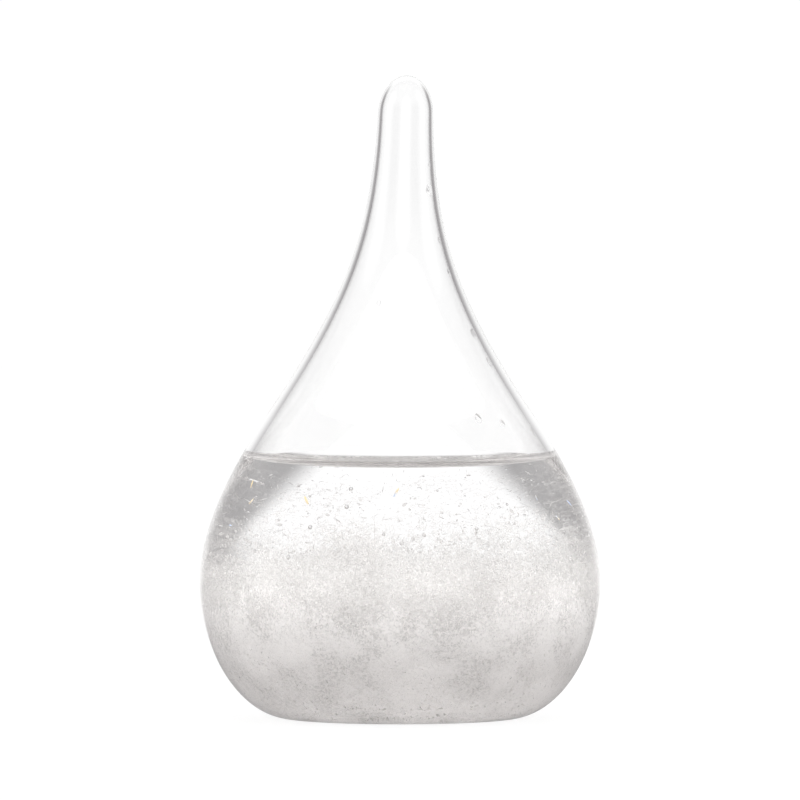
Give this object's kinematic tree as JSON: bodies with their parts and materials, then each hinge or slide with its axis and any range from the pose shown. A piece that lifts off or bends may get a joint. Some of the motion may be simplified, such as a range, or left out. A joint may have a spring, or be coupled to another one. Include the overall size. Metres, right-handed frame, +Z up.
{
  "type": "storm glass",
  "caption": "Sealed drop-shaped glass weather vial, half full of clear liquid with feathery crystals; it stands on its flat foot, which a plug closes from below.",
  "frame": {"origin": "middle of the foot, in the plane that the glass stands on", "axes": "+Z up along the bulb's axis, -Y towards the viewer, +X to the viewer's right; the tip leans to +X"},
  "size_m": [0.05, 0.05, 0.08],
  "materials": {
    "clear_glass": "clear, fire polished",
    "clear_silicone": "translucent satin",
    "clear_sealant": "translucent gloss",
    "storm_liquid": "clear liquid",
    "camphor_crystal": "frosted white crystal",
    "condensate": "clear liquid"
  },
  "bodies": {
    "bottle": {"glass_drop": "clear_glass", "sealant_bead": "clear_sealant", "crystal_bed": "camphor_crystal", "storm_liquid": "storm_liquid", "crystal_fern_1": "camphor_crystal", "crystal_fern_2": "camphor_crystal", "crystal_fern_3": "camphor_crystal", "crystal_fern_4": "camphor_crystal", "crystal_fern_5": "camphor_crystal", "crystal_fern_6": "camphor_crystal", "surface_crystal_1": "camphor_crystal", "surface_crystal_2": "camphor_crystal", "surface_crystal_3": "camphor_crystal", "neck_droplet_1": "condensate", "neck_droplet_2": "condensate", "neck_droplet_3": "condensate", "neck_droplet_4": "condensate", "neck_droplet_5": "condensate", "neck_droplet_6": "condensate", "neck_droplet_7": "condensate", "neck_droplet_8": "condensate", "neck_droplet_9": "condensate", "neck_droplet_10": "condensate"},
    "stopper": {"fill_stopper": "clear_silicone"}
  },
  "joints": [
    {"name": "stopper_pull", "type": "slide", "parent": "bottle", "child": "stopper", "axis": [0, 0, -1], "range_m": [0, 0.008]}
  ]
}
